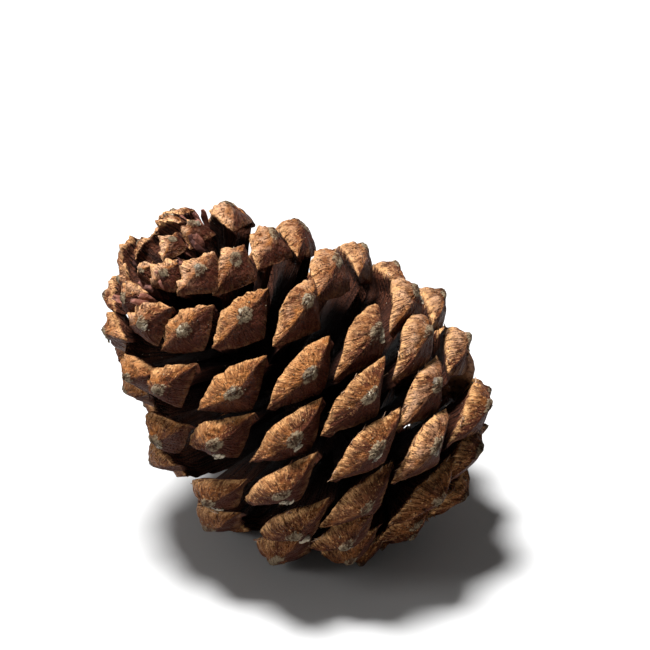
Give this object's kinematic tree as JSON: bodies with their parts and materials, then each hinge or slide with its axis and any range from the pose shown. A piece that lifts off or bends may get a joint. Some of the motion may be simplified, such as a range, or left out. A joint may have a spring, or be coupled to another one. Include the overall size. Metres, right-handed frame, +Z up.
{
  "type": "pine cone",
  "caption": "Opened woody pine cone lying on its side, with keeled scales set in spirals round a central axis and a short broken stalk.",
  "frame": {"origin": "on the ground, under the middle of the cone's bounds, as it lies", "axes": "+Z up; the cone's axis leans, with its tip up and towards -X and its stalk end down and towards +X"},
  "size_m": [0.0726, 0.0634, 0.0674],
  "materials": {
    "cone_wood": "dry, rough and weathered"
  },
  "bodies": {
    "root": {"pine_cone": "cone_wood"}
  },
  "joints": []
}
